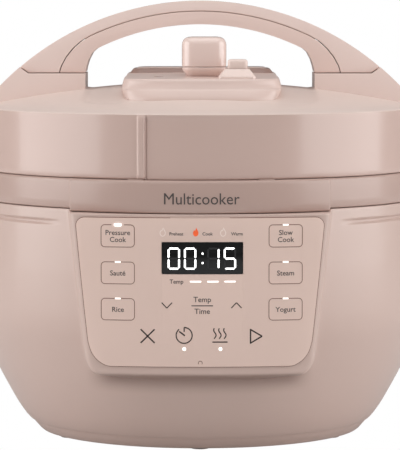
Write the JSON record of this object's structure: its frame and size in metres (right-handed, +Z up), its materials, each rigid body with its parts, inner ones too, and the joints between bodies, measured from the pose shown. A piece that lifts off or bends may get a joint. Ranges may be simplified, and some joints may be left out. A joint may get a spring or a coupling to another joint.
{
  "type": "electric pressure cooker",
  "caption": "Round pink electric pressure cooker with touch panel, bayonet lid, arched lid handle, steam release, float valve and lift-out steel pot.",
  "frame": {"origin": "table level on the pot's axis, at the centre of the underside's bounding box", "axes": "+Z up along the pot's axis, control panel towards -Y, condensation collector towards +Y, handle along X"},
  "size_m": [0.342, 0.3476, 0.3255],
  "materials": {
    "shell_plastic": "satin",
    "lid_plastic": "satin",
    "panel_film": "satin",
    "display_glass": "gloss",
    "black_plastic": "matte",
    "smoked_plastic": "gloss",
    "silicone": "matte",
    "foot_rubber": "matte",
    "stainless": "brushed",
    "aluminium": "satin",
    "zinc": "satin",
    "brass": "polished",
    "board": "satin",
    "wire": "matte"
  },
  "bodies": {
    "cooker": {"body_shell": "shell_plastic", "rim_collar": "shell_plastic", "base_plate": "stainless", "foot_1": "foot_rubber", "foot_2": "foot_rubber", "foot_3": "foot_rubber", "foot_4": "foot_rubber", "foot_5": "foot_rubber", "foot_6": "foot_rubber", "base_screw_1": "zinc", "base_screw_2": "zinc", "base_screw_3": "zinc", "outer_pot": "aluminium", "locking_flange": "stainless", "heating_plate": "aluminium", "heating_element": "stainless", "sensor_spring": "stainless", "pressure_switch": "black_plastic", "thermal_fuse": "zinc", "panel_overlay": "panel_film", "display_window": "display_glass", "display_module": "black_plastic", "control_board": "board", "panel_carrier": "black_plastic", "power_board": "board", "transformer": "brass", "relay": "black_plastic", "capacitor": "aluminium", "power_inlet": "black_plastic", "inlet_pin_live": "brass", "inlet_pin_neutral": "brass", "inlet_pin_earth": "brass", "power_harness": "wire"},
    "sensor": {"temperature_sensor": "aluminium"},
    "collector": {"condensation_collector": "smoked_plastic"},
    "pot": {"inner_pot": "stainless"},
    "seal": {"sealing_ring": "silicone"},
    "lid": {"lid_cover": "lid_plastic", "lid_plate": "stainless", "lid_liner": "lid_plastic", "lid_bolt": "zinc", "handle_grip": "lid_plastic", "handle_cover": "lid_plastic", "handle_screw_left": "zinc", "handle_screw_right": "zinc", "ring_rack": "stainless", "vent_platform": "lid_plastic", "lever_pin": "stainless", "steam_pipe": "stainless", "pipe_nut": "zinc", "anti_block_shield": "stainless", "button_housing": "lid_plastic", "button_spring": "stainless"},
    "lever": {"release_lever": "black_plastic"},
    "weight": {"valve_weight": "black_plastic"},
    "cap": {"steam_cap_base": "lid_plastic", "steam_cap": "shell_plastic"},
    "button": {"release_button": "lid_plastic"},
    "float": {"float_valve": "zinc", "float_valve_cap": "silicone"}
  },
  "joints": [
    {"name": "pot_lift", "type": "slide", "parent": "cooker", "child": "pot", "axis": [0, 0, 1], "range_m": [0, 0.2]},
    {"name": "lid_lift", "type": "slide", "parent": "pot", "child": "seal", "axis": [0, 0, 1], "range_m": [0, 0.12]},
    {"name": "lid_turn", "type": "hinge", "parent": "seal", "child": "lid", "pos_m": [0, 0, 0.19], "axis": [0, 0, 1], "range_deg": [0, 34]},
    {"name": "float_rise", "type": "slide", "parent": "lid", "child": "float", "axis": [0, 0, 1], "range_m": [0, 0.0045]},
    {"name": "button_press", "type": "slide", "parent": "lid", "child": "button", "axis": [0, 0, -1], "range_m": [0, 0.005], "stiffness_N_per_m": 200, "deforming": ["button_spring"]},
    {"name": "lever_rock", "type": "hinge", "parent": "lid", "child": "lever", "pos_m": [0.01208, -0.07812, 0.2659], "axis": [0.7447, 0.6674, 0], "range_deg": [0, 12.64]},
    {"name": "weight_rise", "type": "slide", "parent": "lid", "child": "weight", "axis": [0, 0, 1], "range_m": [0, 0.003]},
    {"name": "cap_pull", "type": "slide", "parent": "lid", "child": "cap", "axis": [0, 0, 1], "range_m": [0, 0.04]},
    {"name": "collector_pull", "type": "slide", "parent": "cooker", "child": "collector", "axis": [0, 1, 0], "range_m": [0, 0.06]},
    {"name": "sensor_press", "type": "slide", "parent": "cooker", "child": "sensor", "axis": [0, 0, -1], "range_m": [0, 0.002], "stiffness_N_per_m": 600, "deforming": ["sensor_spring"]}
  ],
  "couplings": [
    {"joint": "lever_rock", "follows": "button_press", "rad_per_m": 44.128},
    {"joint": "weight_rise", "follows": "button_press", "ratio": 0.6}
  ]
}
